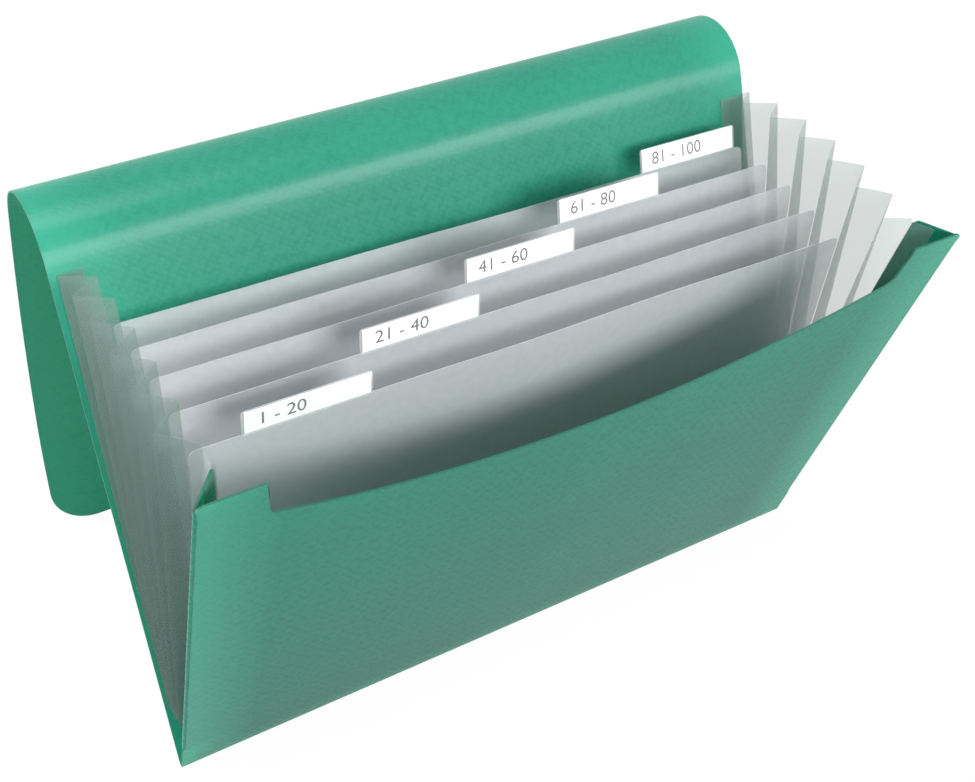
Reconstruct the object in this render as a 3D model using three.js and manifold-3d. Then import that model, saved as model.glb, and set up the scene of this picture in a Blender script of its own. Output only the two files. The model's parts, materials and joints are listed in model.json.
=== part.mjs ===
// Expanding file folder for A4 sheets, standing open like an easel on its bottom fold
// and on the free edge of its thrown-back flap.
// Millimetres. X runs along the bottom fold, Y towards the back, Z up, floor at Z = 0.
import * as THREE from "three";
import { mergeVertices } from "three/addons/utils/BufferGeometryUtils.js";
import Module from "manifold-3d";

const wasm = await Module();
wasm.setup();

// Cover sheet
const coverWidth = 335;
const coverThickness = 0.8;
const bottomLand = 2;
const frontHeight = 226;
const frontLean = 16.9;
const backHeight = 232;
const backLean = 20;
const cornerRadius = 4;

// Scooped top edge of the front panel
const shoulderWidth = 25.5;
const shoulderDrop = 22;
const shoulderRun = 1.2;
const scoopCornerRadius = 4.5;
const scoopSag = 21.5;

// Curl over the top and the flap that hangs behind
const curlRadius = 25;
const curlEndHeading = -71;
const upperFlapLength = 150;
const upperFlapTurn = 10;
const lowerFlapTurn = 18;
const flapCornerRadius = 22;

// Side returns of the front panel, folded inwards
const returnWidth = 18.2;
const returnGape = 13.6;
const returnBottom = 20;
const returnTopGap = 3;

// Pleated gussets
const filmThickness = 0.3;
const pleatCount = 6;
const pleatPanelWidth = 16.5;
const pleatStandOut = 0.5;
const gussetBottom = 30;
const gussetTopGap = 10.2;
const gussetRise = 0.13;
const frontBayAngle = 7.8;
const backWeldWidth = 13.5;
const frontWeldWidth = 9.5;
const foldTipRoom = 0.5;

// Gussets and dividers sit slightly askew in the cover, higher on the left
const insertSkew = 0.85;

// Dividers with their index tabs, counted from the back
const dividerCount = 5;
const dividerBottom = 12;
const dividerTop = 190.5;
const dividerRise = 0.235;
const dividerCornerRadius = 3;
const tabWidth = 53;
const tabHeight = 11.2;
const rightTabMargin = 4.4;
const leftTabMargin = 21;
const tabCornerRadius = 1.5;

// Label sleeve on each tab and the card inside it
const sleeveInset = 0.15;
const sleeveFilm = 0.2;
const sleeveRim = 0.35;
const cardThickness = 0.25;

// Clearance kept between pieces that touch or are welded
const contactGap = 0.3;

const halfCover = coverThickness / 2;
const halfFilm = filmThickness / 2;
const halfWidth = coverWidth / 2;
const apexHeight = halfCover;
const rad = THREE.MathUtils.degToRad;

// A closed solid between two equal grids of points, each a list of rows.
function solidBetween(outer, inner) {
  const rows = outer.length;
  const columns = outer[0].length;
  const points = [];
  for (const layer of [outer, inner]) {
    for (const row of layer) {
      for (const point of row) points.push(point.x, point.y, point.z);
    }
  }
  const at = (layer, row, column) => layer * rows * columns + row * columns + column;
  const faces = [];
  const quad = (a, b, c, d) => faces.push(a, b, c, a, c, d);
  for (let i = 0; i + 1 < rows; i += 1) {
    for (let j = 0; j + 1 < columns; j += 1) {
      quad(at(0, i, j), at(0, i, j + 1), at(0, i + 1, j + 1), at(0, i + 1, j));
      quad(at(1, i, j), at(1, i + 1, j), at(1, i + 1, j + 1), at(1, i, j + 1));
    }
  }
  const last = { row: rows - 1, column: columns - 1 };
  for (let j = 0; j < last.column; j += 1) {
    quad(at(0, 0, j), at(1, 0, j), at(1, 0, j + 1), at(0, 0, j + 1));
    quad(at(0, last.row, j), at(0, last.row, j + 1), at(1, last.row, j + 1), at(1, last.row, j));
  }
  for (let i = 0; i < last.row; i += 1) {
    quad(at(0, i, 0), at(0, i + 1, 0), at(1, i + 1, 0), at(1, i, 0));
    quad(at(0, i, last.column), at(1, i, last.column), at(1, i + 1, last.column), at(0, i + 1, last.column));
  }
  const geometry = new THREE.BufferGeometry();
  geometry.setAttribute("position", new THREE.Float32BufferAttribute(points, 3));
  geometry.setIndex(signedVolume(points, faces) < 0 ? faces.reverse() : faces);
  return geometry;
}

// Sum of the tetrahedra from the origin to each face: negative when the faces point inwards.
function signedVolume(points, faces) {
  const corner = (index) => new THREE.Vector3().fromArray(points, 3 * index);
  let total = 0;
  for (let k = 0; k < faces.length; k += 3) {
    total += corner(faces[k]).dot(corner(faces[k + 1]).cross(corner(faces[k + 2])));
  }
  return total;
}

function toManifold(geometry) {
  const bare = geometry.clone();
  bare.deleteAttribute("normal");
  bare.deleteAttribute("uv");
  const merged = mergeVertices(bare, 1e-4);
  return new wasm.Manifold(new wasm.Mesh({
    numProp: 3,
    vertProperties: new Float32Array(merged.attributes.position.array),
    triVerts: new Uint32Array(merged.index.array),
  }));
}

function toGeometry(manifold) {
  const mesh = manifold.getMesh();
  const geometry = new THREE.BufferGeometry();
  geometry.setAttribute("position", new THREE.BufferAttribute(mesh.vertProperties, 3));
  geometry.setIndex(new THREE.BufferAttribute(mesh.triVerts, 1));
  return geometry;
}

// Cover: one sheet of film that runs from the scooped front edge down the front panel,
// over the bottom land, up the back panel, round the curl and down the flap.
const panelUp = { y: -Math.sin(rad(frontLean)), z: Math.cos(rad(frontLean)) };
const panelIn = { y: Math.cos(rad(frontLean)), z: Math.sin(rad(frontLean)) };

// Height of the front panel's top edge above the bottom fold at a distance from the middle.
const scoopHalf = halfWidth - shoulderWidth;
const scoopCornerCentre = scoopHalf - shoulderRun - scoopCornerRadius;
const scoopRim = frontHeight - shoulderDrop;
const scoopRadius = (scoopCornerCentre ** 2 + scoopSag ** 2) / (2 * scoopSag);

function frontTop(x) {
  const across = Math.abs(x);
  const cornerStart = halfWidth - cornerRadius;
  if (across > cornerStart) {
    const past = Math.min(across - cornerStart, cornerRadius);
    return frontHeight - cornerRadius + Math.sqrt(cornerRadius ** 2 - past ** 2);
  }
  if (across >= scoopHalf) return frontHeight;
  if (across >= scoopHalf - shoulderRun) {
    const down = (scoopHalf - across) / shoulderRun;
    return frontHeight - (shoulderDrop - scoopCornerRadius) * down;
  }
  if (across > scoopCornerCentre) {
    const past = across - scoopCornerCentre;
    return scoopRim + scoopCornerRadius - Math.sqrt(scoopCornerRadius ** 2 - past ** 2);
  }
  return scoopRim - scoopSag + scoopRadius - Math.sqrt(scoopRadius ** 2 - across ** 2);
}

// Stations of the side profile hold a point of the sheet's middle and the heading of its path.
function arcStation(start, radius, turned) {
  const from = rad(start.heading);
  const to = from - turned;
  return {
    y: start.y + radius * (Math.sin(from) - Math.sin(to)),
    z: start.z + radius * (Math.cos(to) - Math.cos(from)),
    heading: THREE.MathUtils.radToDeg(to),
  };
}

const backFoot = { y: bottomLand / 2, z: halfCover, heading: 90 - backLean };
const curlStart = {
  y: backFoot.y + backHeight * Math.sin(rad(backLean)),
  z: backFoot.z + backHeight * Math.cos(rad(backLean)),
  heading: backFoot.heading,
};
const curlTurn = rad(curlStart.heading - curlEndHeading);
const curlEnd = arcStation(curlStart, curlRadius, curlTurn);
const upperFlapRadius = upperFlapLength / rad(upperFlapTurn);
const upperFlapEnd = arcStation(curlEnd, upperFlapRadius, rad(upperFlapTurn));

// The lower flap is the arc that brings the free edge down to the floor.
const freeEdgeHeading = rad(upperFlapEnd.heading - lowerFlapTurn);
const freeEdgeHeight = halfCover * Math.abs(Math.cos(freeEdgeHeading));
const lowerFlapRadius = (upperFlapEnd.z - freeEdgeHeight)
  / (Math.cos(rad(upperFlapEnd.heading)) - Math.cos(freeEdgeHeading));
const lowerFlapLength = lowerFlapRadius * rad(lowerFlapTurn);

// How far down the lower flap the sheet reaches, less where its free corners are rounded.
function flapEnd(x) {
  const past = Math.abs(x) - (halfWidth - flapCornerRadius);
  if (past <= 0) return lowerFlapLength;
  const rounded = Math.sqrt(Math.max(flapCornerRadius ** 2 - past ** 2, 0));
  return lowerFlapLength - flapCornerRadius + rounded;
}

// Columns of the sheet lie where its outlines need them, mirrored about the middle.
function sheetColumns() {
  const half = [scoopHalf];
  const scoopSteps = 8;
  for (let k = 1; k < scoopSteps; k += 1) half.push(scoopCornerCentre * k / scoopSteps);
  const quarter = (centre, radius, steps) => {
    for (let k = 0; k <= steps; k += 1) half.push(centre + radius * Math.sin(Math.PI / 2 * k / steps));
  };
  quarter(scoopCornerCentre, scoopCornerRadius, 4);
  quarter(halfWidth - cornerRadius, cornerRadius, 3);
  quarter(halfWidth - flapCornerRadius, flapCornerRadius, 7);
  const closest = 0.05;
  const kept = [];
  for (const x of half.sort((a, b) => a - b)) {
    if (kept.length === 0 || x - kept[kept.length - 1] > closest) kept.push(x);
  }
  return [...kept.map((x) => -x).reverse(), 0, ...kept];
}

// A row gives, for each column, the sheet's middle and half its thickness as a vector.
const acrossHeading = (heading) => ({ y: -Math.sin(rad(heading)), z: Math.cos(rad(heading)) });

function plainRow(station) {
  const across = acrossHeading(station.heading);
  return () => ({ y: station.y, z: station.z, ny: across.y * halfCover, nz: across.z * halfCover });
}

function mitredRow(point, headingBefore, headingAfter) {
  const across = acrossHeading((headingBefore + headingAfter) / 2);
  const reach = halfCover / Math.cos(rad(headingAfter - headingBefore) / 2);
  return () => ({ y: point.y, z: point.z, ny: across.y * reach, nz: across.z * reach });
}

function coverRows() {
  const frontFoot = { y: -bottomLand / 2, z: halfCover };
  const frontHeading = frontLean - 90;
  const frontAcross = acrossHeading(frontHeading);
  const rows = [(x) => ({
    y: frontFoot.y + panelUp.y * frontTop(x),
    z: frontFoot.z + panelUp.z * frontTop(x),
    ny: frontAcross.y * halfCover,
    nz: frontAcross.z * halfCover,
  })];
  rows.push(mitredRow(frontFoot, frontHeading, 0));
  rows.push(mitredRow(backFoot, 0, backFoot.heading));
  const curlSteps = 12;
  for (let k = 0; k <= curlSteps; k += 1) {
    rows.push(plainRow(arcStation(curlStart, curlRadius, curlTurn * k / curlSteps)));
  }
  const upperSteps = 4;
  for (let k = 1; k <= upperSteps; k += 1) {
    rows.push(plainRow(arcStation(curlEnd, upperFlapRadius, rad(upperFlapTurn) * k / upperSteps)));
  }
  const straightPart = lowerFlapLength - flapCornerRadius - coverThickness;
  const straightSteps = 3;
  for (let k = 1; k <= straightSteps; k += 1) {
    const along = straightPart * k / straightSteps;
    rows.push(plainRow(arcStation(upperFlapEnd, lowerFlapRadius, along / lowerFlapRadius)));
  }
  const cornerSteps = 2;
  for (let k = 1; k <= cornerSteps; k += 1) {
    rows.push((x) => {
      const along = straightPart + (flapEnd(x) - straightPart) * k / cornerSteps;
      return plainRow(arcStation(upperFlapEnd, lowerFlapRadius, along / lowerFlapRadius))();
    });
  }
  return rows;
}

function coverSheet() {
  const columns = sheetColumns();
  const layer = (side) => coverRows().map((row) => columns.map((x) => {
    const { y, z, ny, nz } = row(x);
    return new THREE.Vector3(x, y + side * ny, z + side * nz);
  }));
  return solidBetween(layer(1), layer(-1));
}

// Point of the front panel's own frame: across, up the panel and in behind it.
function panelPoint(x, up, behind) {
  return new THREE.Vector3(
    x,
    -bottomLand / 2 + panelUp.y * up + panelIn.y * behind,
    halfCover + panelUp.z * up + panelIn.z * behind,
  );
}

// The returns open like a book towards the top, as the gussets pull them back.
const returnHinge = halfWidth - halfCover;
const returnStandoff = coverThickness + contactGap;
const returnAngle = (up) => Math.asin(returnGape / returnWidth * up / frontHeight);

function sideReturn(side) {
  const steps = 9;
  const top = frontHeight - returnTopGap;
  const layer = (face) => {
    const rows = [];
    for (let k = 0; k <= steps; k += 1) {
      const up = returnBottom + (top - returnBottom) * k / steps;
      const angle = returnAngle(up);
      rows.push([0, returnWidth].map((reach) => {
        const inward = reach * Math.cos(angle) - face * halfCover * Math.sin(angle);
        const behind = reach * Math.sin(angle) + face * halfCover * Math.cos(angle);
        return panelPoint(side * (returnHinge - inward), up, returnStandoff + behind);
      }));
    }
    return rows;
  };
  return solidBetween(layer(1), layer(-1));
}

// Gussets: a strip of film pleated as a fan about the bottom fold. It starts welded to the
// inner face of the back panel and ends wrapped round the edge of the front panel's return.
// Each stretch from fold to fold is a slab of its own.
const pleatHalfAngle = rad(backLean + frontLean - frontBayAngle) / (2 * pleatCount - 1);
const foldAngle = (index) => rad(backLean) - index * pleatHalfAngle;
const apexToFront = bottomLand / 2 * Math.cos(rad(frontLean));
const filmOnCover = halfCover + contactGap + halfFilm;
const skewSlope = Math.tan(rad(insertSkew));
const peakHalfWidth = halfWidth + pleatStandOut;
const gussetTop = frontHeight - gussetTopGap;

// Distance of the inner folds from the middle, where each pleat has its full width.
function valleyHalfWidth(radius) {
  return peakHalfWidth - Math.sqrt(pleatPanelWidth ** 2 - (radius * pleatHalfAngle) ** 2);
}

// Middle line of the film at a distance from the bottom fold, as points of across and along.
function gussetLine(radius, side) {
  const points = [];
  const shift = side * skewSlope * radius;
  const peak = peakHalfWidth + shift;
  const valley = valleyHalfWidth(radius) + shift;
  points.push([halfWidth - backWeldWidth, radius * foldAngle(0)]);
  for (let index = 0; index < 2 * pleatCount; index += 1) {
    points.push([index % 2 === 0 ? peak : valley, radius * foldAngle(index)]);
  }
  const angle = returnAngle(radius);
  const onReturn = (reach, face) => {
    const behind = reach * Math.sin(angle) + face * filmOnCover * Math.cos(angle);
    const inward = reach * Math.cos(angle) - face * filmOnCover * Math.sin(angle);
    const fromApex = returnStandoff + behind - apexToFront;
    return [returnHinge - inward, fromApex - radius * rad(frontLean)];
  };
  points.push(onReturn(returnWidth + filmOnCover, 1));
  points.push(onReturn(returnWidth + filmOnCover, -1));
  points.push(onReturn(returnWidth - frontWeldWidth, -1));
  return points;
}

// The pleats rise towards the back; the weld on the return reaches almost to its top.
function gussetReach(index, side) {
  if (index > 2 * pleatCount) return frontHeight - returnTopGap - 1;
  const nominal = foldAngle(Math.max(index - 1, 0));
  return gussetTop * (1 + gussetRise * Math.sin(nominal)) - side * skewSlope * peakHalfWidth;
}

// One end of a slab of film, cut back from the fold so that it clears the slab beyond, as
// its middle and half the film's thickness. The interior angle of the fold sets the cut.
function slabEnd(line, index, towards) {
  const unit = (from, to) => {
    const length = Math.hypot(to[0] - from[0], to[1] - from[1]);
    return [(to[0] - from[0]) / length, (to[1] - from[1]) / length];
  };
  const along = unit(line[index], line[towards]);
  const beyond = line[2 * index - towards];
  let cut = 0;
  if (beyond) {
    const before = unit(beyond, line[index]);
    const straightness = before[0] * along[0] + before[1] * along[1];
    const halfSine = Math.sqrt((1 + straightness) / 2);
    const halfCosine = Math.sqrt((1 - straightness) / 2);
    cut = (contactGap / 2 + halfFilm * halfCosine) / halfSine;
  }
  const turn = Math.sign(towards - index) * halfFilm;
  return {
    middle: [line[index][0] + cut * along[0], line[index][1] + cut * along[1]],
    across: [-along[1] * turn, along[0] * turn],
  };
}

// Slab of the gusset between two neighbouring folds of its line, from foot to top.
function gussetSlab(side, index) {
  const steps = 8;
  const layer = (face) => {
    const rows = [];
    for (let k = 0; k <= steps; k += 1) {
      rows.push([[index, index + 1], [index + 1, index]].map(([at, towards]) => {
        const radius = gussetBottom + (gussetReach(at, side) - gussetBottom) * k / steps;
        const { middle, across } = slabEnd(gussetLine(radius, side), at, towards);
        const angle = (middle[1] + face * across[1]) / radius;
        return new THREE.Vector3(
          side * (middle[0] + face * across[0]),
          radius * Math.sin(angle),
          apexHeight + radius * Math.cos(angle),
        );
      }));
    }
    return rows;
  };
  return solidBetween(layer(1), layer(-1));
}

// Names of the slabs in their order from the back panel to the front panel's return.
const slabNames = ["back_weld"];
for (let index = 1; index <= 2 * pleatCount; index += 1) slabNames.push(`pleat_${index}`);
slabNames.push("wrap", "front_weld");

// Dividers: flat sheets that stand in the inner folds of the gussets, each with one tab.
const dividerHalfWidth = (radius) => valleyHalfWidth(radius) - foldTipRoom - contactGap;
const dividerAngle = (index) => foldAngle(2 * index + 1);
const dividerReach = (index) => dividerTop * (1 + dividerRise * Math.sin(dividerAngle(index)));
const tabReach = dividerHalfWidth(dividerTop);
const lastTabLeft = tabReach - rightTabMargin - tabWidth;
const tabPitch = (lastTabLeft + tabReach - leftTabMargin) / (dividerCount - 1);
const tabLeft = (index) => lastTabLeft - index * tabPitch;

function dividerGeometry(index) {
  const top = dividerReach(index);
  const left = tabLeft(index);
  const right = left + tabWidth;
  const quarterTurn = Math.PI / 2;
  const cornerTop = top - dividerCornerRadius;
  const cornerX = dividerHalfWidth(cornerTop) - dividerCornerRadius;
  const sideSteps = 4;
  const edge = [];
  for (let k = 0; k < sideSteps; k += 1) {
    const up = dividerBottom + (cornerTop - dividerBottom) * k / sideSteps;
    edge.push([dividerHalfWidth(up), up]);
  }
  const shape = new THREE.Shape();
  shape.moveTo(-edge[0][0], edge[0][1]);
  for (const [across, up] of edge) shape.lineTo(across, up);
  shape.absarc(cornerX, cornerTop, dividerCornerRadius, 0, quarterTurn);
  shape.lineTo(right, top);
  const tabTop = top + tabHeight - tabCornerRadius;
  shape.absarc(right - tabCornerRadius, tabTop, tabCornerRadius, 0, quarterTurn);
  shape.absarc(left + tabCornerRadius, tabTop, tabCornerRadius, quarterTurn, 2 * quarterTurn);
  shape.lineTo(left, top);
  shape.absarc(-cornerX, cornerTop, dividerCornerRadius, quarterTurn, 2 * quarterTurn);
  for (const [across, up] of edge.slice(1).reverse()) shape.lineTo(-across, up);
  shape.closePath();
  const geometry = new THREE.ExtrudeGeometry(shape, {
    depth: filmThickness,
    bevelEnabled: false,
    curveSegments: 4,
  });
  return geometry.translate(0, 0, -halfFilm);
}

function boxFrom(low, high) {
  const size = high.map((value, axis) => value - low[axis]);
  const geometry = new THREE.BoxGeometry(...size);
  return geometry.translate(...low.map((value, axis) => value + size[axis] / 2));
}

// Sleeve: a shallow tray of clear film on the front of the tab, open at the top.
const sleeveBack = halfFilm + contactGap;
const cardFront = sleeveBack + cardThickness;
const sleeveFront = cardFront + contactGap + sleeveFilm;

function sleeveGeometry(index) {
  const left = tabLeft(index) + sleeveInset;
  const right = left + tabWidth - 2 * sleeveInset;
  const bottom = dividerReach(index);
  const top = bottom + tabHeight - sleeveInset;
  const block = toManifold(boxFrom([left, bottom, sleeveBack], [right, top, sleeveFront]));
  const past = 1;
  const pocket = toManifold(boxFrom(
    [left + sleeveRim, bottom + sleeveRim, sleeveBack - past],
    [right - sleeveRim, top + past, cardFront + contactGap],
  ));
  return toGeometry(block.subtract(pocket));
}

function cardGeometry(index) {
  const margin = sleeveInset + sleeveRim + contactGap;
  const left = tabLeft(index) + margin;
  const right = tabLeft(index) + tabWidth - margin;
  const bottom = dividerReach(index) + sleeveRim + contactGap;
  const top = dividerReach(index) + tabHeight - sleeveInset;
  return boxFrom([left, bottom, sleeveBack], [right, top, cardFront]);
}

// Finishes
const greenFilm = { color: 0x43947c, roughness: 0.42, metalness: 0 };
const greyFilm = { color: 0xc3c9c8, roughness: 0.38, metalness: 0 };
const dividerFilm = { color: 0xb4b8bb, roughness: 0.35, metalness: 0 };
const clearFilm = { color: 0xe4e8e8, roughness: 0.2, metalness: 0 };
const whiteCard = { color: 0xf2f1ee, roughness: 0.85, metalness: 0 };

function piece(name, geometry, finish) {
  const mesh = new THREE.Mesh(geometry, new THREE.MeshStandardMaterial(finish));
  mesh.name = name;
  return mesh;
}

// Assembly
const folder = new THREE.Group();
folder.add(piece("cover", coverSheet(), greenFilm));
folder.add(piece("return_left", sideReturn(-1), greenFilm));
folder.add(piece("return_right", sideReturn(1), greenFilm));
slabNames.forEach((name, index) => {
  folder.add(piece(`gusset_left_${name}`, gussetSlab(-1, index), greyFilm));
  folder.add(piece(`gusset_right_${name}`, gussetSlab(1, index), greyFilm));
});
for (let index = 0; index < dividerCount; index += 1) {
  const leaf = new THREE.Group();
  leaf.position.z = apexHeight;
  leaf.rotation.set(Math.PI / 2 - dividerAngle(index), 0, -rad(insertSkew));
  leaf.add(piece(`divider_${index + 1}`, dividerGeometry(index), dividerFilm));
  leaf.add(piece(`tab_sleeve_${index + 1}`, sleeveGeometry(index), clearFilm));
  leaf.add(piece(`label_card_${index + 1}`, cardGeometry(index), whiteCard));
  folder.add(leaf);
}

// The origin is the middle of the folder's footprint on the floor.
folder.updateMatrixWorld(true);
const extent = new THREE.Box3().setFromObject(folder, true);
folder.position.x = -(extent.min.x + extent.max.x) / 2;
folder.position.y = -(extent.min.y + extent.max.y) / 2;

export default folder;
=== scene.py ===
import json
import math

import bmesh
import bpy
import numpy as np
from mathutils import Euler, Matrix, Vector


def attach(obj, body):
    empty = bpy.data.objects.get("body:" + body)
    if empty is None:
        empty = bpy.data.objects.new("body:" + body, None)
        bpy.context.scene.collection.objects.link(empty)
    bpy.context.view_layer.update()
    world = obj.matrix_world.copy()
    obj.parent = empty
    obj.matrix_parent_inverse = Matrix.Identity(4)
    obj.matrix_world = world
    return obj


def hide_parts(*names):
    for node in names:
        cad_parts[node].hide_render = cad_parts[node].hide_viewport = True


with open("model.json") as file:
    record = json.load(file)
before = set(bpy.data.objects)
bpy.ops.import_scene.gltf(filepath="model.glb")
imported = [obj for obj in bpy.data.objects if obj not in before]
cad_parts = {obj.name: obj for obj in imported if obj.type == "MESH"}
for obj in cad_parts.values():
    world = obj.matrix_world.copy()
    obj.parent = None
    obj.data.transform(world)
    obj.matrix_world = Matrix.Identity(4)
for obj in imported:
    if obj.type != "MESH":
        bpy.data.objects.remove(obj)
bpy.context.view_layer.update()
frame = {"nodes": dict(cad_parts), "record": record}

# Cover: one sheet of green polypropylene film, embossed with a fine weave. It is scored and
# folded at the foot, stands up as front and back panel, rolls over at the top and hangs down
# behind as the flap. The front panel's top edge is punched out in a shallow scoop.
sheet_width = 0.335
sheet_film = 0.0008
front_height = 0.226
front_lean = math.radians(16.9)
back_height = 0.232
back_lean = math.radians(20)
foot_land = 0.002
fold_radius = 0.0012
curl_radius = 0.025
curl_turn = math.radians(141)
upper_flap = (0.150, math.radians(10))
lower_flap_turn = math.radians(18)
lower_flap_longest = 0.0985
flap_corner = 0.022
shoulder_width = 0.0255
shoulder_drop = 0.022
shoulder_run = 0.0012
scoop_corner = 0.0045
scoop_sag = 0.0215
panel_corner = 0.004
panel_bow = 0.0008
edge_inset = 0.0011
edge_inset_span = (0.0195, 0.2245)
edge_inset_ramp = 0.002
cover_green = (0.034, 0.275, 0.190, 1)
cover_green_deep = (0.022, 0.205, 0.140, 1)
cover_green_through = (0.075, 0.56, 0.38, 1)
# Painted glow: this lighter green is painted on the sheet's side strips, standing in for light coming
# through the film.
painted_glow_green = (0.036, 0.305, 0.212, 1)
# Painted shade: this factor darkens the green of the front panel.
painted_front_shade = (0.40, 0.72, 0.76, 1)
cut_edge_green = (0.012, 0.090, 0.062, 1)
# The painted glow rises across this span towards the side edges and stops at the edge itself.
painted_glow_span = (0.134, 0.164)
painted_glow_end = (0.1674, 0.1676)
# The painted front shade sets in over this span along the sheet, just in front of the foot.
painted_front_shade_span = (-0.002, -0.012)
emboss_depth = 0.00012
weave_turn = 0.62
film_ior = 1.45
film_specular = 0.28
edge_angle = math.radians(35)

half_width = sheet_width / 2
half_sheet = sheet_film / 2
fold_place = frame["record"]["mounts"][0]["pos_m"]
foot = np.array([fold_place[0], fold_place[1], half_sheet])


class Wire:
    """A shader socket. Arithmetic on it adds Math nodes, and make adds any other node."""

    def __init__(self, tree, socket=None):
        self.tree = tree
        self.socket = socket

    def make(self, kind, settings=None, values=None, out=0):
        """Adds a node: its settings first, then a number, colour or Wire on each socket."""
        node = self.tree.nodes.new("ShaderNode" + kind)
        for key, value in (settings or {}).items():
            setattr(node, key, value)
        for key, value in (values or {}).items():
            if isinstance(value, Wire):
                self.tree.links.new(value.socket, node.inputs[key])
            else:
                node.inputs[key].default_value = value
        return Wire(self.tree, node.outputs[out])

    def maths(self, operation, first, second):
        """Adds a Math node on two numbers or Wires."""
        return self.make("Math", {"operation": operation}, {0: first, 1: second})

    def __add__(self, other):
        return self.maths("ADD", self, other)

    def __mul__(self, other):
        return self.maths("MULTIPLY", self, other)

    def __sub__(self, other):
        return self.maths("SUBTRACT", self, other)

    def __rsub__(self, other):
        return self.maths("SUBTRACT", other, self)

    __radd__ = __add__
    __rmul__ = __mul__

    def blend(self, low, high):
        """Colour from low to high as this value goes from 0 to 1."""
        return self.make("Mix", {"data_type": "RGBA"}, {0: self, 6: low, 7: high}, out=2)


def finish(name):
    """A new material, with a Wire for its tree and its output node."""
    material = bpy.data.materials.new(name)
    material.use_nodes = True
    material.node_tree.nodes.clear()
    tree = material.node_tree
    return material, Wire(tree), tree.nodes.new("ShaderNodeOutputMaterial")


def film_finish(name, light, deep, through, roughness, alpha, glow=0.0, emboss=0.0, painted_glow_colour=None):
    """Film: a principled surface mixed by glow with light from behind. The colour drifts slowly
    between two tones, and embossed film has a bump of fine grain crossed by a diagonal weave.
    A painted glow lightens the sheet towards its side edges, and a painted shade deepens its front
    panel.
    The sheet's coordinates are metres across and along."""
    material, wire, output = finish(name)
    place = wire.make("UVMap")
    drift = wire.make("TexNoise", values={"Vector": place, "Scale": 14.0, "Detail": 2.0})
    mottle = wire.make("TexNoise", values={"Vector": place, "Scale": 260.0, "Detail": 1.0})
    pattern, relief = mottle, {}
    if emboss:
        grain = wire.make("TexNoise", values={"Vector": place, "Scale": 620.0, "Detail": 2.0})
        turned = wire.make("Mapping", values={"Vector": place, "Rotation": (0, 0, weave_turn)})
        warp = wire.make("TexWave", {"bands_direction": "X"},
                         {"Vector": turned, "Scale": 95.0, "Distortion": 1.2})
        weft = wire.make("TexWave", {"bands_direction": "Y"},
                         {"Vector": turned, "Scale": 130.0, "Distortion": 1.6})
        weave = grain * 0.7 + warp * weft * 0.5
        pattern = mottle * 0.67 + weave * 0.33
        relief["Normal"] = wire.make("Bump", values={
            "Strength": emboss, "Distance": emboss_depth, "Height": weave + mottle * 1.5})
    tone = wire.make("MapRange", values={0: drift * 0.4 + pattern * 0.6, 1: 0.26, 2: 0.74})
    colour = tone.blend(deep, light)
    if painted_glow_colour:
        across = wire.make("SeparateXYZ", values={0: place}, out="X")
        across = wire.maths("ABSOLUTE", across, 0.0)
        along = wire.make("SeparateXYZ", values={0: place}, out="Y")
        # Painted shade: the front panel's colour is multiplied down to a deeper green.
        front = wire.make("MapRange", values={0: along, 1: painted_front_shade_span[0], 2: painted_front_shade_span[1]})
        colour = wire.make("Mix", {"data_type": "RGBA", "blend_type": "MULTIPLY"},
                           {0: front, 6: colour, 7: painted_front_shade}, out=2)
        # Painted glow: the sheet lightens towards its side edges, standing in for light coming through
        # the film.
        painted_glow_mask = wire.make("MapRange", values={0: across, 1: painted_glow_span[0], 2: painted_glow_span[1]})
        painted_glow_mask = painted_glow_mask - wire.make("MapRange", values={0: across, 1: painted_glow_end[0], 2: painted_glow_end[1]})
        colour = painted_glow_mask.blend(colour, painted_glow_colour)
    spread = 0.01 + 0.15 * emboss
    rough = wire.make("MapRange", values={0: pattern, 3: roughness - spread, 4: roughness + spread})
    surface = wire.make("BsdfPrincipled", values={
        "Base Color": colour, "Roughness": rough, "Alpha": alpha, "IOR": film_ior,
        "Specular IOR Level": film_specular, **relief})
    behind = wire.make("BsdfTranslucent", values={"Color": through})
    mixed = wire.make("MixShader", values={0: glow, 1: surface, 2: behind})
    wire.tree.links.new(mixed.socket, output.inputs["Surface"])
    return material


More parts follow.
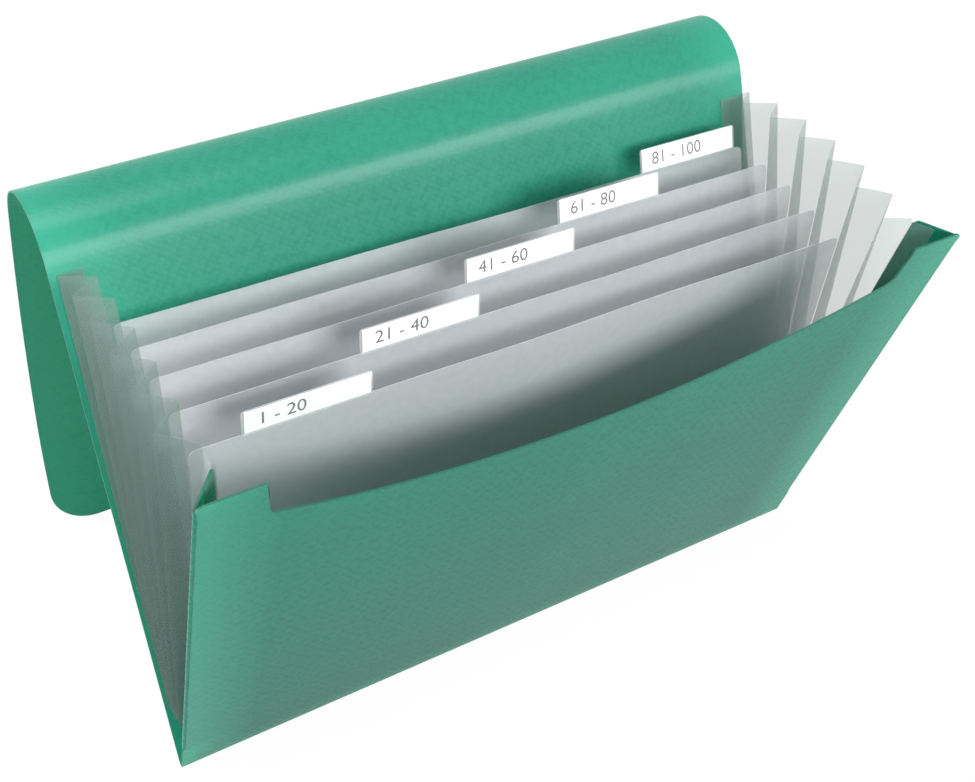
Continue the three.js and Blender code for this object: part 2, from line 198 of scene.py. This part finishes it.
def film_shell(name, middle, thickness, uv, materials, normal=None):
    """Closed film about a grid of points. Both faces lie half the thickness to either side of
    the grid, along the cross product of its two directions, and a rim of quads joins them.
    The first material is the film's, the last its cut edge's."""
    if normal is None:
        normal = np.cross(np.gradient(middle, axis=1), np.gradient(middle, axis=0))
        normal /= np.maximum(np.linalg.norm(normal, axis=2, keepdims=True), 1e-12)
    rows, columns = middle.shape[:2]
    count = rows * columns
    points = np.concatenate([middle + normal * thickness / 2, middle - normal * thickness / 2])
    index = np.arange(count).reshape(rows, columns)
    top = np.stack([index[:-1, :-1], index[:-1, 1:], index[1:, 1:], index[1:, :-1]], -1)
    top = top.reshape(-1, 4)
    around = np.concatenate([index[0, :-1], index[:-1, -1], index[-1, :0:-1], index[:0:-1, 0]])
    following = np.roll(around, -1)
    rim = np.stack([around, around + count, following + count, following], -1)
    faces = np.concatenate([top, top[:, ::-1] + count, rim])
    mesh = bpy.data.meshes.new(name)
    mesh.from_pydata(points.reshape(-1, 3), [], faces)
    flat = np.concatenate([uv.reshape(-1, 2)] * 2)
    corners = np.zeros(len(mesh.loops), int)
    mesh.loops.foreach_get("vertex_index", corners)
    mesh.uv_layers.new(name="sheet").data.foreach_set("uv", flat[corners].ravel())
    for material in materials:
        mesh.materials.append(material)
    cut = np.zeros(len(faces), int)
    cut[-len(rim):] = len(materials) - 1
    mesh.polygons.foreach_set("material_index", cut)
    work = bmesh.new()
    work.from_mesh(mesh)
    bmesh.ops.recalc_face_normals(work, faces=work.faces)
    work.to_mesh(mesh)
    work.free()
    mesh.shade_smooth()
    mesh.set_sharp_from_angle(angle=edge_angle)
    piece = bpy.data.objects.new(name, mesh)
    bpy.context.scene.collection.objects.link(piece)
    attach(piece, "root")
    return piece


path_step = 0.0001
smoothing_steps = 60
smoothing_start = 0.03
smoothing_ramp = 0.02
floor_touch = 0.0002
flap_end_run = 0.004


def bent_path(stretches):
    """Path in the side plane from the foot's middle. Each stretch is a length and the angle it
    turns by; the heading is their running sum, smoothed a little, and the path its integral.
    The foot's tight fold is left as it is: the smoothing starts 30 mm along."""
    lengths = np.array([length for length, turn in stretches])
    ends = np.concatenate([[0], np.cumsum(lengths)])
    headings = np.concatenate([[0], np.cumsum([turn for length, turn in stretches])])
    along = np.arange(0, ends[-1] + path_step, path_step)
    heading = np.interp(along, ends, headings)
    window = np.hanning(2 * smoothing_steps + 1)
    padded = np.pad(heading, smoothing_steps, mode="edge")
    soft = np.convolve(padded, window / window.sum(), mode="valid")
    blend = np.clip((along - smoothing_start) / smoothing_ramp, 0, 1)
    heading = heading * (1 - blend) + soft * blend
    y = np.concatenate([[0], np.cumsum(np.cos(heading[:-1]) * path_step)])
    z = np.concatenate([[0], np.cumsum(np.sin(heading[:-1]) * path_step)])
    return along, y, z, heading


def front_top(x):
    """Height of the front panel's top edge: full at the shoulders, down a short ramp and a
    quarter round, then one shallow arc across the middle; its outer corners are rounded."""
    across = np.abs(x)
    rim = front_height - shoulder_drop
    scoop_half = half_width - shoulder_width
    corner = scoop_half - shoulder_run - scoop_corner
    radius = (corner ** 2 + scoop_sag ** 2) / (2 * scoop_sag)
    arc = rim - scoop_sag + radius - np.sqrt(radius ** 2 - np.minimum(across, corner) ** 2)
    past = np.clip(across - corner, 0, scoop_corner)
    rounded = rim + scoop_corner - np.sqrt(scoop_corner ** 2 - past ** 2)
    ramp = front_height - (shoulder_drop - scoop_corner) * (scoop_half - across) / shoulder_run
    outer = np.clip(across - half_width + panel_corner, 0, panel_corner)
    top = front_height - panel_corner + np.sqrt(panel_corner ** 2 - outer ** 2)
    top = np.where(across < scoop_half, ramp, top)
    top = np.where(across < scoop_half - shoulder_run, rounded, top)
    return np.where(across < corner, arc, top)


def end_rounding(x, radius):
    """How much a sheet is shorter at x where its free corners are quarter rounds."""
    past = np.clip(np.abs(x) - (half_width - radius), 0, radius)
    return radius - np.sqrt(radius ** 2 - past ** 2)


def sheet_columns():
    """Positions across the sheet: even steps, closer together at the corners and shoulders."""
    scoop_half = half_width - shoulder_width
    corner = scoop_half - shoulder_run - scoop_corner
    quarter = np.sin(np.linspace(0, math.pi / 2, 9))
    half = np.concatenate([
        np.linspace(0, corner, 40),
        corner + scoop_corner * quarter,
        [scoop_half, scoop_half + 0.004],
        half_width - flap_corner + flap_corner * np.sin(np.linspace(0, math.pi / 2, 22)),
        half_width - panel_corner + panel_corner * quarter,
    ])
    half = np.unique(np.round(half, 6))
    return np.concatenate([-half[:0:-1], half])


# Both stretches are measured from the land's middle. The front one is mirrored, and the flap
# ends where its path comes down to the floor.
corner_cut = fold_radius * math.tan((math.pi / 2 - back_lean) / 2)
fold_length = fold_radius * (math.pi / 2 - back_lean)
front_corner_cut = fold_radius * math.tan((math.pi / 2 - front_lean) / 2)
front_fold_length = fold_radius * (math.pi / 2 - front_lean)
back_start = foot_land / 2 - corner_cut + fold_length
back_stretches = [
    (foot_land / 2 - corner_cut, 0),
    (fold_length, math.pi / 2 - back_lean),
    (back_height - corner_cut, 0),
    (curl_radius * curl_turn, -curl_turn),
    (upper_flap[0], -upper_flap[1]),
    (lower_flap_longest, -lower_flap_turn),
]
back_path = bent_path(back_stretches)
front_path = bent_path([
    (foot_land / 2 - front_corner_cut, 0),
    (front_fold_length, math.pi / 2 - front_lean),
    (front_height - front_corner_cut, 0),
])
columns = sheet_columns()
front_start = foot_land / 2 - front_corner_cut + front_fold_length
front_reach = front_start - front_corner_cut + front_top(columns)
past_curl = int((back_height + curl_radius * curl_turn) / path_step)
lowest = np.argmax(back_path[2][past_curl:] < floor_touch) + past_curl
flap_reach = back_path[0][lowest] - end_rounding(columns, flap_corner)

fold_rows = np.linspace(0, 1, 8)
front_rows = np.concatenate([
    front_start * fold_rows[:, None] + 0 * columns,
    front_start + (front_reach - front_start) * np.linspace(0, 1, 42)[1:, None],
])
flap_start = flap_reach.min() - flap_end_run
back_rows = np.concatenate([
    back_start * fold_rows[1:, None] + 0 * columns,
    back_start + (flap_start - back_start) * np.linspace(0, 1, 150)[1:, None] + 0 * columns,
    flap_start + (flap_reach - flap_start) * np.linspace(0, 1, 7)[1:, None],
])
along = np.concatenate([-front_rows[::-1], back_rows])


def cover_point(x, s):
    """Middle of the sheet at x across and s along from the foot, and its normal. The panels
    bow outwards by the product of two half sine waves, one across and one along."""
    side = np.where(s < 0, -1.0, 1.0)
    reach = np.abs(s)
    path = [np.where(s < 0, np.interp(reach, front_path[0], front_path[k]),
                     np.interp(reach, back_path[0], back_path[k])) for k in (1, 2, 3)]
    y, z, heading = path[0] * side, path[1], path[2] * side
    normal = np.stack([np.zeros_like(y), -np.sin(heading), np.cos(heading)], -1)
    bow = panel_bow * np.cos(math.pi * x / sheet_width)
    height = np.where(s < 0, front_height, back_height)
    bow = bow * np.sin(math.pi * np.clip(reach / height, 0, 1))
    point = np.stack([x + 0 * y, y, z], -1) - normal * bow[..., None]
    return point + foot, normal


across = columns + 0 * along
return_zone = np.clip((-along - edge_inset_span[0]) / edge_inset_ramp, 0, 1)
return_zone = return_zone * np.clip((edge_inset_span[1] + along) / edge_inset_ramp, 0, 1)
across = across * (1 - edge_inset / half_width * return_zone)
middle, normal = cover_point(across, along)
# The green film carries the painted shade on its front panel and the painted glow on its side strips.
green_film = film_finish("embossed_green_film", cover_green, cover_green_deep, cover_green_through,
                         roughness=0.28, alpha=1.0, glow=0.30, emboss=0.35, painted_glow_colour=painted_glow_green)
green_edge = film_finish("cut_green_edge", cut_edge_green, cut_edge_green, cut_edge_green,
                         roughness=0.45, alpha=1.0)
cover = film_shell("folder_cover", middle, sheet_film, np.stack([across, along], -1),
                   [green_film, green_edge], normal)
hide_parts("cover")

# Side returns: narrow strips of the same sheet along the front panel's side edges, folded
# inwards. The gussets are welded to them and pull them open like a book towards the top.
return_width = 0.0182
return_gape = 0.0136
return_foot = 0.020
return_top = front_height - 0.003
return_bend = 0.0007
return_bend_run = 0.0022
return_corner = 0.0025
panel_up = np.array([0, -math.sin(front_lean), math.cos(front_lean)])
panel_in = np.array([0, math.cos(front_lean), math.sin(front_lean)])
panel_foot = foot + np.array([0, -foot_land / 2, 0])


def return_angle(up):
    """Angle of the return to the front panel, whose sine grows in line with the height."""
    return np.arcsin(return_gape / return_width * up / front_height)


def return_grid(side):
    """Middle of the return: a half turn of small radius about the panel's edge, then a
    straight strip, set over the panel's bow. The turn ends early by the return's angle."""
    up = np.linspace(return_foot, return_top, 40)[:, None]
    angle = return_angle(up)
    turn = (math.pi - angle) * np.linspace(0, 1, 9)
    arc_x = return_bend * np.sin(turn)
    arc_in = return_bend * (1 - np.cos(turn))
    reach = np.linspace(0, return_width, 12)[1:]
    past = np.clip(reach - return_width + return_corner, 0, return_corner)
    rounding = return_corner - np.sqrt(return_corner ** 2 - past ** 2)
    flat_x = arc_x[:, -1:] - reach * np.cos(angle)
    flat_in = arc_in[:, -1:] + reach * np.sin(angle)
    x = half_width - half_sheet - return_bend + np.concatenate([arc_x, flat_x], 1)
    inward = np.concatenate([arc_in, flat_in], 1)
    shrink = np.concatenate([np.zeros(9), rounding]) * np.linspace(-1, 1, 40)[:, None]
    height = up - shrink
    grid = panel_foot + np.stack([side * x, 0 * x, 0 * x], -1)
    grid = grid + height[..., None] * panel_up + inward[..., None] * panel_in
    run = np.concatenate([np.linspace(0, return_bend_run, 9), return_bend_run + reach]) + 0 * up
    return grid, np.stack([side * (half_width + run), -height], -1)


for side, label in ((-1, "left"), (1, "right")):
    grid, uv = return_grid(side)
    strip = film_shell(f"side_return_{label}", grid, sheet_film, uv, [green_film, green_edge])
    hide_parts(f"return_{label}")

# Gussets: one strip of frosted grey film at each side, creased into six pleats that fan out
# from the foot. It is welded to the back panel's inner face and round the front's return.
gusset_film = 0.0002
pleats = 6
pleat_width = 0.0165
peak_half = half_width + 0.0005
gusset_foot = 0.030
gusset_top = 0.2158
gusset_rise = 0.13
front_bay = math.radians(7.8)
skew = math.radians(0.85)
back_weld = 0.0135
front_weld = 0.0095
film_on_sheet = 0.00085
wrap_top_gap = 0.004
pleat_bow = 0.00035
crease_half_gap = 0.00022
crease_cuts = (0.0003, 0.0032)
strip_rise = 0.19
smoke_grey = (0.200, 0.272, 0.250, 1)
smoke_grey_deep = (0.176, 0.246, 0.225, 1)
smoke_cut_edge = (0.30, 0.36, 0.34, 1)
pleat_half_angle = (back_lean + front_lean - front_bay) / (2 * pleats - 1)
fold_angles = back_lean - np.arange(2 * pleats) * pleat_half_angle


def valley_half(radius):
    """Distance of the inner folds from the middle, where each pleat has its full width."""
    return peak_half - np.sqrt(pleat_width ** 2 - (radius * pleat_half_angle) ** 2)


def gusset_folds(side, share):
    """Places of all folds, one row for each share of the way up. A pleat's fold lies on a
    radial line from the foot; the last three points wrap round the return's free edge."""
    nominal = np.concatenate([fold_angles[:1], fold_angles])
    tops = gusset_top * (1 + gusset_rise * np.sin(nominal)) - side * math.tan(skew) * peak_half
    radius = gusset_foot + (tops - gusset_foot) * share[:, None]
    shift = side * math.tan(skew) * radius[:, 1:]
    even = np.arange(2 * pleats) % 2 == 0
    folds = np.where(even, peak_half + 0 * shift, valley_half(radius[:, 1:])) + shift
    x = np.concatenate([0 * share[:, None] + half_width - back_weld, folds], 1)
    points = np.stack([side * x, radius * np.sin(nominal), radius * np.cos(nominal)], -1) + foot
    wrap_radius = gusset_foot + (front_height - wrap_top_gap - gusset_foot) * share
    angle = return_angle(wrap_radius)
    ends = []
    for reach, face in ((return_width + film_on_sheet, 1), (return_width + film_on_sheet, -1),
                        (return_width - front_weld, -1)):
        inward = reach * np.cos(angle) - face * film_on_sheet * np.sin(angle)
        behind = 2 * return_bend + reach * np.sin(angle) + face * film_on_sheet * np.cos(angle)
        across = side * (half_width - half_sheet - inward)
        place = panel_foot + np.stack([across, 0 * share, 0 * share], -1)
        ends.append(place + wrap_radius[:, None] * panel_up + behind[:, None] * panel_in)
    return np.concatenate([points, np.stack(ends, 1)], 1)


def creased_strip(folds, bow):
    """Film between the folds. Each panel is a straight run with a slight bow to one side, and
    each crease is a small round that starts where the two panels are a film apart."""
    before, after = folds[:, :-1], folds[:, 1:]
    length = np.linalg.norm(after - before, axis=2, keepdims=True)
    unit = (after - before) / length
    cosine = np.clip((unit[:, :-1] * unit[:, 1:]).sum(2, keepdims=True), -0.9999, 0.9999)
    half_sine = np.sqrt((1 + cosine) / 2)
    cut = np.clip(crease_half_gap / half_sine, *crease_cuts)
    cut = np.concatenate([0 * cut[:, :1], cut, 0 * cut[:, :1]], 1)
    lines = []
    up = np.gradient(folds, axis=0)
    for k in range(folds.shape[1] - 1):
        start = before[:, k] + unit[:, k] * cut[:, k]
        end = after[:, k] - unit[:, k] * cut[:, k + 1]
        outward = np.cross(unit[:, k], up[:, k])
        outward /= np.linalg.norm(outward, axis=1, keepdims=True)
        if k:
            lines.append(0.25 * lines[-1] + 0.5 * folds[:, k] + 0.25 * start)
        for t in np.linspace(0, 1, 7):
            lines.append(start + (end - start) * t + outward * bow[k] * math.sin(math.pi * t))
    return np.stack(lines, 1)


smoke_film = film_finish("frosted_grey_film", smoke_grey, smoke_grey_deep, smoke_grey,
                         roughness=0.40, alpha=0.23)
smoke_edge = film_finish("cut_grey_edge", smoke_cut_edge, smoke_grey, smoke_grey,
                         roughness=0.40, alpha=0.38)
for side, label in ((-1, "left"), (1, "right")):
    folds = gusset_folds(side, np.linspace(0, 1, 30))
    bows = pleat_bow * np.array([0] + [1, -1] * pleats + [0, 0]) * side
    grid = creased_strip(folds, bows)
    run = np.cumsum(np.linalg.norm(np.diff(grid[-1], axis=0), axis=1))
    rise = np.linspace(0, strip_rise, 30)[:, None]
    uv = np.stack(np.broadcast_arrays(np.concatenate([[0], run]), rise), -1)
    strip = film_shell(f"pleated_gusset_{label}", grid, gusset_film, uv, [smoke_film, smoke_edge])
    slabs = [node for node in frame["nodes"] if node.startswith(f"gusset_{label}")]
    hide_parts(*slabs)

# Dividers: five flat leaves of frosted film, die cut with rounded corners. Each stands in an
# inner crease of both gussets and has one raised tab, further left on each leaf to the front.
divider_film = 0.0003
divider_foot = 0.012
divider_height = 0.1905
divider_rise = 0.235
divider_corner = 0.003
divider_clearance = 0.0008
divider_count = 5
tab_width = 0.053
tab_height = 0.0112
tab_corner = 0.0015
right_margin = 0.0044
left_margin = 0.021
wave_height = 0.0006
wave_rate = 38
wave_shift = 2.1
wave_clearance = 0.03
leaf_grey = (0.56, 0.58, 0.60, 1)
leaf_grey_deep = (0.50, 0.52, 0.54, 1)
leaf_cut_edge = (0.5, 0.52, 0.53, 1)
leaf_angles = fold_angles[1:2 * divider_count:2]


def leaf_place(x, up, out, angle):
    """A point of a leaf's own plane in the frame: turned by the skew in its plane, then stood
    up at its angle about the foot; out is the way towards the front."""
    turned = x * math.cos(skew) + up * math.sin(skew)
    height = up * math.cos(skew) - x * math.sin(skew)
    y = height * math.sin(angle) - out * math.cos(angle)
    z = height * math.cos(angle) + out * math.sin(angle)
    return np.stack([turned, y, z], -1) + foot


leaf_half = valley_half(divider_height) - divider_clearance
last_tab = leaf_half - right_margin - tab_width
tab_pitch = (last_tab + leaf_half - left_margin) / (divider_count - 1)
tab_lefts = last_tab - np.arange(divider_count) * tab_pitch
leaf_tops = divider_height * (1 + divider_rise * np.sin(leaf_angles))


def leaf_top(x, left, top):
    """Top edge of a leaf: level, with quarter rounds at its ends and at the tab's corners."""
    outside = np.maximum(left - x, x - left - tab_width)
    within = np.clip(tab_corner + outside, 0, tab_corner)
    tab = tab_height - tab_corner + np.sqrt(tab_corner ** 2 - within ** 2)
    end = valley_half(top) - divider_clearance - divider_corner
    past = np.clip(np.abs(x) - end, 0, divider_corner)
    level = top - divider_corner + np.sqrt(divider_corner ** 2 - past ** 2)
    return level + np.where(outside < 0, tab, 0)


def leaf_grid(index):
    """Leaf as rows from its foot to its top edge. Its width follows the gussets' creases, and
    away from the tab it waves gently, most at the top."""
    left, top, angle = tab_lefts[index], leaf_tops[index], leaf_angles[index]
    edge = valley_half(top) - divider_clearance
    quarter = np.sin(np.linspace(0, math.pi / 2, 7))
    hair = 0.00001
    tab_marks = np.array([0, hair, 0.0002, 0.0006, 0.0011, tab_corner])
    x = np.concatenate([
        np.linspace(-edge + divider_corner, edge - divider_corner, 80),
        edge - divider_corner + divider_corner * quarter,
        -edge + divider_corner - divider_corner * quarter,
        left + tab_marks,
        left + tab_width - tab_marks,
        [left - hair, left + tab_width + hair],
    ])
    x = np.unique(np.round(x, 6))
    share = np.linspace(0, 1, 26)[:, None]
    up = divider_foot + (leaf_top(x, left, top) - divider_foot) * share
    across = x * (valley_half(up) - divider_clearance) / edge
    from_tab = np.maximum(np.abs(x - left - tab_width / 2) - wave_clearance, 0)
    clear = 1 - np.exp(-(from_tab / wave_clearance) ** 2)
    wave = wave_height * np.sin(x * wave_rate + index * wave_shift) * clear * share ** 2
    wave = wave * np.cos(math.pi * x / (2 * edge))
    return leaf_place(across, up, wave, angle), np.stack([across, up], -1)


leaf_film = film_finish("divider_film", leaf_grey, leaf_grey_deep, leaf_grey,
                        roughness=0.32, alpha=0.42)
leaf_edge = film_finish("cut_divider_edge", leaf_cut_edge, leaf_grey, leaf_grey,
                        roughness=0.3, alpha=0.6)
for index in range(divider_count):
    grid, uv = leaf_grid(index)
    leaf = film_shell(f"leaf_{index + 1}", grid, divider_film, uv, [leaf_film, leaf_edge])
    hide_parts(f"divider_{index + 1}")

# Index labels: a clear sleeve is welded on the front of each tab, open at the top. A cut
# white card rests in it, printed with plain numbers in black.
card_white = (0.86, 0.86, 0.84, 1)
card_white_deep = (0.80, 0.80, 0.78, 1)
ink_black = (0.012, 0.012, 0.014, 1)
ink_black_worn = (0.03, 0.03, 0.034, 1)
sleeve_tint = (0.8, 0.82, 0.82, 1)
number_height = 0.0058
number_left = 0.006
number_lift = 0.0032
digit_share = 0.7
ink_thickness = 0.00002
card_front = 0.0007
ink_clearance = 0.00003
label_numbers = ("81 - 100", "61 - 80", "41 - 60", "21 - 40", "1 - 20")

sleeve_clear, wire, output = finish("clear_sleeve_film")
place = wire.make("TexCoord", out="Object")
scratches = wire.make("TexNoise", values={"Vector": place, "Scale": 400.0, "Detail": 4.0})
sheen = wire.make("MapRange", values={0: scratches, 3: 0.10, 4: 0.26})
surface = wire.make("BsdfPrincipled", values={
    "Base Color": sleeve_tint, "Roughness": sheen, "Alpha": 0.10, "IOR": film_ior})
wire.tree.links.new(surface.socket, output.inputs["Surface"])

card_stock, wire, output = finish("white_card")
place = wire.make("TexCoord", out="Object")
fibre = wire.make("TexNoise", values={"Vector": place, "Scale": 1500.0, "Detail": 5.0})
colour = fibre.blend(card_white_deep, card_white)
bump = wire.make("Bump", values={"Strength": 0.25, "Distance": 0.00005, "Height": fibre})
surface = wire.make("BsdfPrincipled", values={
    "Base Color": colour, "Roughness": 0.8, "Normal": bump, "IOR": 1.4})
wire.tree.links.new(surface.socket, output.inputs["Surface"])

number_ink, wire, output = finish("black_print")
place = wire.make("TexCoord", out="Object")
blot = wire.make("TexNoise", values={"Vector": place, "Scale": 2500.0, "Detail": 3.0})
colour = blot.blend(ink_black, ink_black_worn)
surface = wire.make("BsdfPrincipled", values={"Base Color": colour, "Roughness": 0.6})
wire.tree.links.new(surface.socket, output.inputs["Surface"])

for index in range(divider_count):
    for node, material in (("tab_sleeve", sleeve_clear), ("label_card", card_stock)):
        slots = frame["nodes"][f"{node}_{index + 1}"].data.materials
        slots.clear()
        slots.append(material)
    text = bpy.data.curves.new("print", "FONT")
    text.body = label_numbers[index]
    text.size = number_height / digit_share
    text.extrude = ink_thickness
    text.align_x = "LEFT"
    lettering = bpy.data.objects.new("print", text)
    bpy.context.scene.collection.objects.link(lettering)
    bpy.context.view_layer.update()
    drawn = lettering.evaluated_get(bpy.context.evaluated_depsgraph_get())
    printed = bpy.data.meshes.new_from_object(drawn)
    bpy.data.objects.remove(lettering)
    flat = np.zeros(len(printed.vertices) * 3)
    printed.vertices.foreach_get("co", flat)
    flat = flat.reshape(-1, 3)
    x = tab_lefts[index] + number_left + flat[:, 0]
    up = leaf_tops[index] + number_lift + flat[:, 1]
    placed = leaf_place(x, up, card_front + ink_clearance + flat[:, 2], leaf_angles[index])
    printed.vertices.foreach_set("co", placed.ravel())
    printed.materials.clear()
    printed.materials.append(number_ink)
    numbers = bpy.data.objects.new(f"index_numbers_{index + 1}", printed)
    bpy.context.scene.collection.objects.link(numbers)
    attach(numbers, "root")

# Floor, light and camera: a plain white surface under even studio light, seen from the front
# left and above.
floor_half = 8
floor_grey = (0.38, 0.38, 0.38, 1)
pure_white = (1, 1, 1, 1)
floor_glow = 1.08
floor_glow_share = 0.88
sky_strength = 0.22
camera_offset = (-0.2696, -0.39845, 0.5539)
camera_pitch = math.radians(53.13)
camera_yaw = math.radians(-30.77)
camera_tilt = math.radians(-3.9)
lens_length = 55.05


def background_rays(wire):
    """1 for camera, glossy and transmission rays, which see the background white, else 0."""
    camera_ray = wire.make("LightPath", out="Is Camera Ray")
    glossy_ray = wire.make("LightPath", out="Is Glossy Ray")
    transmission_ray = wire.make("LightPath", out="Is Transmission Ray")
    return wire.maths("MAXIMUM", wire.maths("MAXIMUM", camera_ray, glossy_ray), transmission_ray)


floor_mesh = bpy.data.meshes.new("studio_floor")
corners = [(x * floor_half, y * floor_half, 0) for x, y in ((-1, -1), (1, -1), (1, 1), (-1, 1))]
floor_mesh.from_pydata(corners, [], [(0, 1, 2, 3)])
floor = bpy.data.objects.new("studio_floor", floor_mesh)
bpy.context.scene.collection.objects.link(floor)
floor_white, wire, output = finish("white_floor")
seen = background_rays(wire)
matte = wire.make("BsdfDiffuse", values={"Color": floor_grey})
bright = wire.make("Emission", values={"Color": pure_white, "Strength": floor_glow})
mixed = wire.make("MixShader", values={0: seen * floor_glow_share, 1: matte, 2: bright})
wire.tree.links.new(mixed.socket, output.inputs["Surface"])
floor_mesh.materials.append(floor_white)

world = bpy.data.worlds.new("studio")
world.use_nodes = True
world.node_tree.nodes.clear()
wire = Wire(world.node_tree)
seen = background_rays(wire)
sky = wire.make("Background", values={"Color": pure_white, "Strength": sky_strength})
backdrop = wire.make("Background", values={"Color": pure_white, "Strength": 1.0})
mixed = wire.make("MixShader", values={0: seen, 1: sky, 2: backdrop})
output = world.node_tree.nodes.new("ShaderNodeOutputWorld")
world.node_tree.links.new(mixed.socket, output.inputs["Surface"])
bpy.context.scene.world = world

for name, place, aim, size, power in (
    ("front_softbox", (0.55, -1.55, 0.80), (0, 0, 0.15), (1.5, 0.6), 40),
    ("top_softbox", (-0.3, -0.1, 1.7), (0, 0, 0.12), (1.0, 1.0), 26),
    ("side_softbox", (-1.5, -0.5, 0.45), (0, 0, 0.12), (0.8, 0.8), 12),
    ("back_softbox", (-1.4, 1.3, 0.45), (0, 0, 0.12), (1.0, 1.0), 88),
):
    lamp = bpy.data.lights.new(name, "AREA")
    lamp.shape = "RECTANGLE"
    lamp.size, lamp.size_y = size
    lamp.energy = power
    holder = bpy.data.objects.new(name, lamp)
    holder.location = place
    holder.rotation_euler = (Vector(aim) - Vector(place)).to_track_quat("-Z", "Y").to_euler()
    bpy.context.scene.collection.objects.link(holder)

view = bpy.data.cameras.new("view")
view.lens = lens_length
view.sensor_width = 36
view.sensor_fit = "HORIZONTAL"
view.clip_start, view.clip_end = 0.01, 30
camera = bpy.data.objects.new("view", view)
bpy.context.scene.collection.objects.link(camera)
spot = Vector(foot) + Vector(camera_offset)
turn = Matrix.Rotation(camera_tilt, 4, "X") @ Euler((camera_pitch, 0, camera_yaw)).to_matrix().to_4x4()
camera.matrix_world = Matrix.Translation(spot) @ turn
bpy.context.scene.camera = camera
bpy.context.scene.view_settings.view_transform = "Standard"
bpy.context.scene.cycles.transparent_max_bounces = 36
